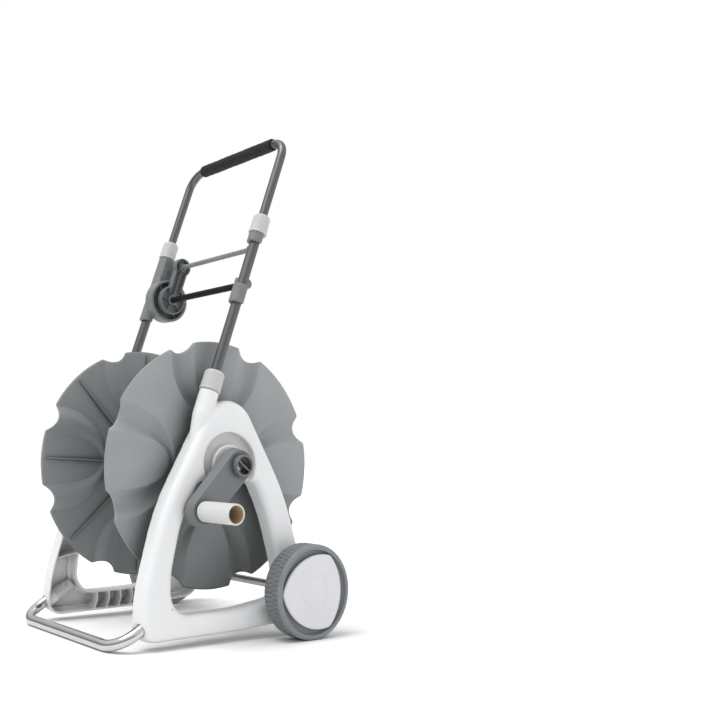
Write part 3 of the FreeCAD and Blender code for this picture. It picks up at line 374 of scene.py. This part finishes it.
def rim_radius(angle, radius):
    """Distance from the axle to the rim, which is notched between petals."""
    result = np.full_like(angle, radius)
    centre = radius - NOTCH_DEPTH + NOTCH_RADIUS
    for quarter in range(4):
        for side in (-1, 1):
            turn = quarter * math.pi / 2 + PETAL_TURN + side * NOTCH_SPREAD
            away = np.arctan2(np.sin(angle - turn), np.cos(angle - turn))
            inside = NOTCH_RADIUS ** 2 - (centre * np.sin(away)) ** 2
            cut = centre * np.cos(away) - np.sqrt(np.maximum(inside, 0))
            result = np.where((inside > 0) & (np.abs(away) < 0.3), np.minimum(result, cut), result)
    return (np.roll(result, 1) + 2 * result + np.roll(result, -1)) / 4     # softens the notches' corners


def bow_distance(x, y, centre, length, half_width):
    """Signed distance in metres out of a bow: an ellipse up to its centre, straight sides past it."""
    run = np.minimum(x - centre, 0) / length
    size = np.sqrt(run ** 2 + (y / half_width) ** 2) + 1e-9
    slope = np.sqrt((run / length) ** 2 + (y / half_width ** 2) ** 2) / size + 1e-9
    return (size - 1) / slope


def flute_depth(radius, angle):
    """How far the sheet is pressed in: a flute runs round each narrow petal, between two creases."""
    depth = np.zeros_like(radius)
    for quarter in range(4):
        turn = angle - quarter * math.pi / 2 - PETAL_TURN
        x, y = radius * np.cos(turn), radius * np.sin(turn)
        outside_narrow = bow_distance(x, y, *NARROW_BOW)
        inside_wide = -bow_distance(x, y, *WIDE_BOW)
        width = outside_narrow + inside_wide
        inside = (outside_narrow > 0) & (inside_wide > 0) & (x > 0)
        share = np.clip(outside_narrow / np.maximum(width, 1e-6), 0, 1)
        fullness = np.clip(width / FULL_WIDTH, 0, 1)
        depth = np.where(inside, FLUTE_DEPTH * np.sin(math.pi * share) * fullness, depth)
    return depth


def flange(node, side):
    """A pressed flange with eight petals, its hub, and straight ribs on the hose side."""
    low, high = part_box(node)
    axle = (low + high) / 2
    radius = (high.z - low.z) / 2
    face = (high.x if side > 0 else low.x) - side * HUB_RISE
    columns, rows = FLANGE_COLUMNS, FLANGE_ROWS
    angle = np.linspace(0, 2 * math.pi, columns, endpoint=False)
    rim = rim_radius(angle, radius)
    share = np.linspace(0, 1, rows)[:, None]
    reach = SHAFT_RADIUS + share * (rim[None, :] - SHAFT_RADIUS)
    turn = np.broadcast_to(angle[None, :], reach.shape)
    depth = flute_depth(reach, turn)
    vertices = []
    for back in (0, SHEET):
        x = face - side * (depth + back)
        y = axle.y + reach * np.sin(turn)
        z = axle.z + reach * np.cos(turn)
        vertices.append(np.stack([x, y, z], axis=-1).reshape(-1, 3))
    layer = rows * columns
    faces = []
    for j in range(rows - 1):
        for i in range(columns):
            k = (i + 1) % columns
            quad = (j * columns + i, j * columns + k, (j + 1) * columns + k, (j + 1) * columns + i)
            faces.append(quad)
            faces.append(tuple(layer + v for v in reversed(quad)))
    for j in (0, rows - 1):
        for i in range(columns):
            a, b = j * columns + i, j * columns + (i + 1) % columns
            faces.append((a, b, layer + b, layer + a))
    sheet = object_from(node + "_sheet", np.concatenate(vertices), faces)
    hub = hub_ring(node, axle, face, side)
    ribs = [flange_rib(node, axle, face, side, radius, i) for i in range(8)]
    return finish_piece(joined(sheet, [hub] + ribs), node)


def hub_ring(node, axle, face, side):
    """The raised hub, rooted a little way into the sheet."""
    root = -2 * MM
    outline = [(root, SHAFT_RADIUS), (HUB_RISE, SHAFT_RADIUS), (HUB_RISE, HUB_RADIUS), (root, HUB_RADIUS)]
    return lathe(node + "_hub", rounded(outline, 1.5 * MM), Vector((face, axle.y, axle.z)), X_AXIS * side)


def flange_rib(node, axle, face, side, radius, number):
    """One straight rib behind the middle of a petal, lower towards the rim."""
    start, end = 70 * MM, radius - 8 * MM
    half, height, end_height = 1.1 * MM, 7 * MM, 3 * MM
    back = face - side * (SHEET - 0.5 * MM)
    turn = number * math.pi / 4 + PETAL_TURN
    out = Vector((0, math.sin(turn), math.cos(turn)))
    across = Vector((0, math.cos(turn), -math.sin(turn)))
    vertices = []
    for reach, rise in ((start, height), (end, end_height)):
        for x in (back, back - side * rise):
            for way in (-1, 1):
                vertices.append(Vector((x, axle.y, axle.z)) + out * reach + across * (half * way))
    faces = [(0, 1, 3, 2), (4, 6, 7, 5), (0, 4, 5, 1), (2, 3, 7, 6), (0, 2, 6, 4), (1, 5, 7, 3)]
    return object_from("%s_rib_%d" % (node, number), vertices, faces, smooth=False)


def joined(main, others):
    """One piece out of several meshes."""
    with bpy.context.temp_override(active_object=main, object=main, selected_objects=[main] + others,
                                   selected_editable_objects=[main] + others):
        bpy.ops.object.join()
    return main


flange("flange_right", 1)
flange("flange_left", -1)


# ---------------------------------------------------------------------------------------------
# Wheels
# ---------------------------------------------------------------------------------------------
LUGS = 64
LUG_STEPS = 5                       # columns of the lathe for each lug and its gap
GAP_STEPS = 2


def wheel(node, side):
    """A treaded wheel, dished for its cover. Along is measured in from the outer face."""
    low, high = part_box(node)
    radius = (high.z - low.z) / 2
    outer = high.x if side > 0 else low.x
    width = high.x - low.x
    origin = Vector((outer, (low.y + high.y) / 2, (low.z + high.z) / 2))
    axle_bore, hub_radius = 7.05 * MM, 14 * MM
    pocket, cover_seat, web_back = 12 * MM, 8 * MM, 12 * MM     # depths below the outer face
    shoulder = 3.4 * MM                         # bevel of the tread's outer edge
    groove, tread_end = 19 * MM, 42 * MM
    floor_radius = radius - 2.6 * MM            # bottom of the groove between the rows of lugs
    outline = [
        (width, axle_bore), (pocket, axle_bore), (pocket, 16 * MM), (9 * MM, 19 * MM), (cover_seat, 22 * MM),
        (cover_seat, 69 * MM), (6 * MM, 71.5 * MM), (0, 72.5 * MM), (0, radius - shoulder),
        (shoulder, radius), (6 * MM, radius), (17 * MM, radius), (17.6 * MM, floor_radius),
        (groove + 1.4 * MM, floor_radius), (groove + 2 * MM, radius), (36 * MM, radius),
        (39 * MM, radius - 1 * MM), (tread_end, radius - 4 * MM), (tread_end, radius - 11 * MM),
        (16 * MM, radius - 14 * MM), (14 * MM, 65 * MM), (web_back, 62 * MM), (web_back, 24 * MM),
        (14 * MM, 16 * MM), (width, hub_radius)]
    outline = rounded(outline, 0.9 * MM, 2)
    bare = radius - 2.4 * MM

    def lug(along, length, column):
        near_row = 5.4 * MM < along < 17.2 * MM
        far_row = groove + 1.6 * MM < along < 37.5 * MM
        phase = column if near_row else column + LUG_STEPS // 2
        in_gap = phase % LUG_STEPS < GAP_STEPS
        return bare if in_gap and (near_row or far_row) and length > bare else length

    piece = lathe(node + "_tread", outline, origin, X_AXIS * -side, LUGS * LUG_STEPS, lug)
    return finish_piece(piece, node)


wheel("wheel_right", 1)
wheel("wheel_left", -1)


def cover_line(node):
    """The faint raised line on a wheel cover: a smaller three-sided outline with bulging sides."""
    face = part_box(node)[1].x
    centre = centre_of(node.replace("cover_", ""))
    reach, thickness, sunk = 38 * MM, 1.3 * MM, 0.1 * MM
    turns = [math.radians(degrees) for degrees in (180, 60, -60)]
    corners = [Vector((0, math.cos(turn), math.sin(turn))) * reach for turn in turns]
    curve = bpy.data.curves.new(node + "_line", "CURVE")
    curve.dimensions = "3D"
    curve.bevel_depth = thickness / 2
    curve.bevel_resolution = 3
    spline = curve.splines.new("NURBS")
    points = []
    for i, corner in enumerate(corners):
        ahead = corners[(i + 1) % 3]
        middle = (corner + ahead) / 2
        points += [corner * 0.97, corner.lerp(middle, 0.35) * 1.12, middle.normalized() * reach * 0.74]
        points += [ahead.lerp(middle, 0.35) * 1.12]
    spline.points.add(len(points) - 1)
    for point, spot in zip(spline.points, points):
        place = spot + Vector((face - sunk, centre.y, centre.z))
        point.co = (*place, 1)
    spline.use_cyclic_u = True
    spline.order_u = 3
    line = bpy.data.objects.new(node + "_line", curve)
    bpy.context.scene.collection.objects.link(line)
    curve.materials.append(materials["cover_white"])
    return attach(line, nodes[node]["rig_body"])


# ---------------------------------------------------------------------------------------------
# Crank knob and grip
# ---------------------------------------------------------------------------------------------
def knob():
    """A hollow knob on its bearing, white outside, with tan painted shade inside."""
    low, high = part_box("knob")
    radius, length = (high.z - low.z) / 2, high.x - low.x
    bore, pin_bore, sleeve = 14.2 * MM, 6.05 * MM, 9 * MM
    sleeve_end, end_wall, edge = 31.7 * MM, 4 * MM, 1 * MM
    outline = [(0, pin_bore), (sleeve_end, pin_bore), (sleeve_end, sleeve), (end_wall, sleeve),
               (end_wall, bore), (length, bore), (length, radius - 0.2 * MM), (length - edge, radius),
               (edge, radius), (0, radius - edge)]
    origin = Vector((low.x, (low.y + high.y) / 2, (low.z + high.z) / 2))
    piece = lathe("knob_shell", rounded(outline, 0.9 * MM), origin, X_AXIS, 96)
    piece.data.materials.append(materials["knob_white"])
    piece.data.materials.append(materials["knob_inside_painted_shade"])
    # The faces inside the bore take the tan painted shade.
    for face in piece.data.polygons:
        away = face.center - origin
        distance = math.hypot(away.y, away.z)
        face.material_index = 1 if distance < bore + 0.2 * MM and away.x > edge else 0
    return finish_piece(piece, "knob")


def foam_grip():
    """The foam sleeve, a little uneven along its length and rounded at its ends."""
    low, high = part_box("grip")
    radius, length = (high.z - low.z) / 2, high.x - low.x
    bore, end_drop = 7.95 * MM, 1.8 * MM
    steps, columns = 40, 64
    outline = [(0, bore), (length, bore), (length, radius - end_drop)]
    for i in range(steps + 1):
        along = length - 1.5 * MM - (length - 3 * MM) * i / steps
        outline.append((along, radius - (0.25 + 0.2 * math.sin(i * 1.7)) * MM))
    outline.append((0, radius - end_drop))

    def uneven(along, distance, column):
        if distance < radius - 1 * MM:
            return distance
        return distance - 0.15 * MM * (1 + math.sin(3 * column * 2 * math.pi / columns + 90 * along))

    origin = Vector((low.x, (low.y + high.y) / 2, (low.z + high.z) / 2))
    piece = lathe("grip_foam", rounded(outline, 1.5 * MM, 2), origin, X_AXIS, columns, uneven)
    finish_piece(piece, "grip")
    return piece


knob()
foam_grip()

# ---------------------------------------------------------------------------------------------
# Mouldings whose CAD shape is right
# ---------------------------------------------------------------------------------------------
for name in ("side_frame_right", "side_frame_left"):
    moulded(name, 1.5 * MM, rounds=5, share=0.4)
for name in ("crank_arm", "guide_bracket", "guide_lever_left"):
    moulded(name, 0.6 * MM, rounds=4, share=0.35)
for name in ("hub_cap", "rod_clip", "collar_shell", "guide_lever_right", "foot_plug_right", "foot_plug_left"):
    moulded(name, 0.5 * MM, rounds=4, share=0.4)
for word in ("lower", "upper"):
    for hand in ("right", "left"):
        moulded("%s_collar_%s" % (word, hand), 0.7 * MM, rounds=8)
for hand in ("right", "left"):
    moulded("wheel_cover_" + hand, 0.9 * MM, rounds=8)
# The left cover's face is the edge of the CAD box, so a raised line there would stand outside it.
cover_line("wheel_cover_right")

# The CAD nodes that still show take their slot's material.
for name, obj in nodes.items():
    if not obj.hide_render:
        obj.data.materials.clear()
        obj.data.materials.append(materials[slot_of[name]])


# ---------------------------------------------------------------------------------------------
# Stage, light and camera
# ---------------------------------------------------------------------------------------------
def floor():
    """A large white floor."""
    half = 14.0
    corners = [(-half, -half, 0), (half, -half, 0), (half, half, 0), (-half, half, 0)]
    piece = object_from("floor", corners, [(0, 1, 2, 3)], smooth=False)
    material, tree, shader, place = new_material("floor_white")
    tone = mixed(tree, noise(tree, place, 0.5, 1.0), (0.93, 0.93, 0.93), (0.95, 0.95, 0.95))
    tree.links.new(tone, shader.inputs["Base Color"])
    shader.inputs["Roughness"].default_value = 0.9
    shader.inputs["Specular IOR Level"].default_value = 0.0
    piece.data.materials.append(material)


def studio_world():
    """White where the camera sees it. As light it is a bright ceiling over darker walls, with one
    bright wall on the right, which the metal tubes mirror."""
    world = bpy.data.worlds.new("studio")
    bpy.context.scene.world = world
    world.use_nodes = True
    tree = world.node_tree
    seen = tree.nodes["Background"]
    seen.inputs["Color"].default_value = (1, 1, 1, 1)
    lit = tree.nodes.new("ShaderNodeBackground")
    lit.inputs["Strength"].default_value = 0.9
    way = tree.nodes.new("ShaderNodeTexCoord").outputs["Generated"]
    height = tree.nodes.new("ShaderNodeSeparateXYZ")
    tree.links.new(way, height.inputs[0])
    ceiling = spread(tree, height.outputs["Z"], 0.0, 1.0, 0.12, 0.6)
    tone = mixed(tree, ceiling, (0.22, 0.225, 0.23), (1, 1, 1))
    sideways = tree.nodes.new("ShaderNodeVectorMath")
    sideways.operation = "DOT_PRODUCT"
    sideways.inputs[1].default_value = right
    tree.links.new(way, sideways.inputs[0])
    tone = mixed(tree, spread(tree, sideways.outputs["Value"], 0.0, 1.0, 0.55, 0.8), tone, (1, 1, 1))
    tree.links.new(tone, lit.inputs["Color"])
    choice = tree.nodes.new("ShaderNodeMixShader")
    tree.links.new(tree.nodes.new("ShaderNodeLightPath").outputs["Is Camera Ray"], choice.inputs[0])
    tree.links.new(lit.outputs[0], choice.inputs[1])
    tree.links.new(seen.outputs[0], choice.inputs[2])
    tree.links.new(choice.outputs[0], tree.nodes["World Output"].inputs["Surface"])


def sun(direction, strength, width):
    """A wide soft sun that shines along a direction."""
    light = bpy.data.lights.new("sun", "SUN")
    light.energy = strength
    light.angle = math.radians(width)
    lamp = bpy.data.objects.new("sun", light)
    lamp.rotation_euler = Vector(direction).to_track_quat("-Z", "Y").to_euler()
    bpy.context.scene.collection.objects.link(lamp)


# The camera, in metres and radians. right, up and forward are its axes before it is rolled.
EYE = (1.4273, -0.9769, 0.3182)
YAW, PITCH, ROLL = 0.9568, 0.0589, 0.0134
forward = Vector((-math.sin(YAW) * math.cos(PITCH), math.cos(YAW) * math.cos(PITCH), math.sin(PITCH)))
right = Vector((math.cos(YAW), math.sin(YAW), 0))
up = right.cross(forward)


def camera():
    """The scene's camera, with its shift, at its place."""
    data = bpy.data.cameras.new("camera")
    data.lens = 47.33
    data.shift_x, data.shift_y = 0.233, 0.049
    eye = bpy.data.objects.new("camera", data)
    bpy.context.scene.collection.objects.link(eye)
    side = right * math.cos(ROLL) + up * math.sin(ROLL)
    top = up * math.cos(ROLL) - right * math.sin(ROLL)
    turn = Matrix((side, top, -forward)).transposed().to_4x4()
    eye.matrix_world = Matrix.Translation(EYE) @ turn
    bpy.context.scene.camera = eye


floor()
studio_world()
SUN_DIRECTION = right * 0.35 + forward * 0.2 + Vector((0, 0, -1))
sun(SUN_DIRECTION, strength=1.7, width=34)
camera()
bpy.context.scene.view_settings.view_transform = "Standard"
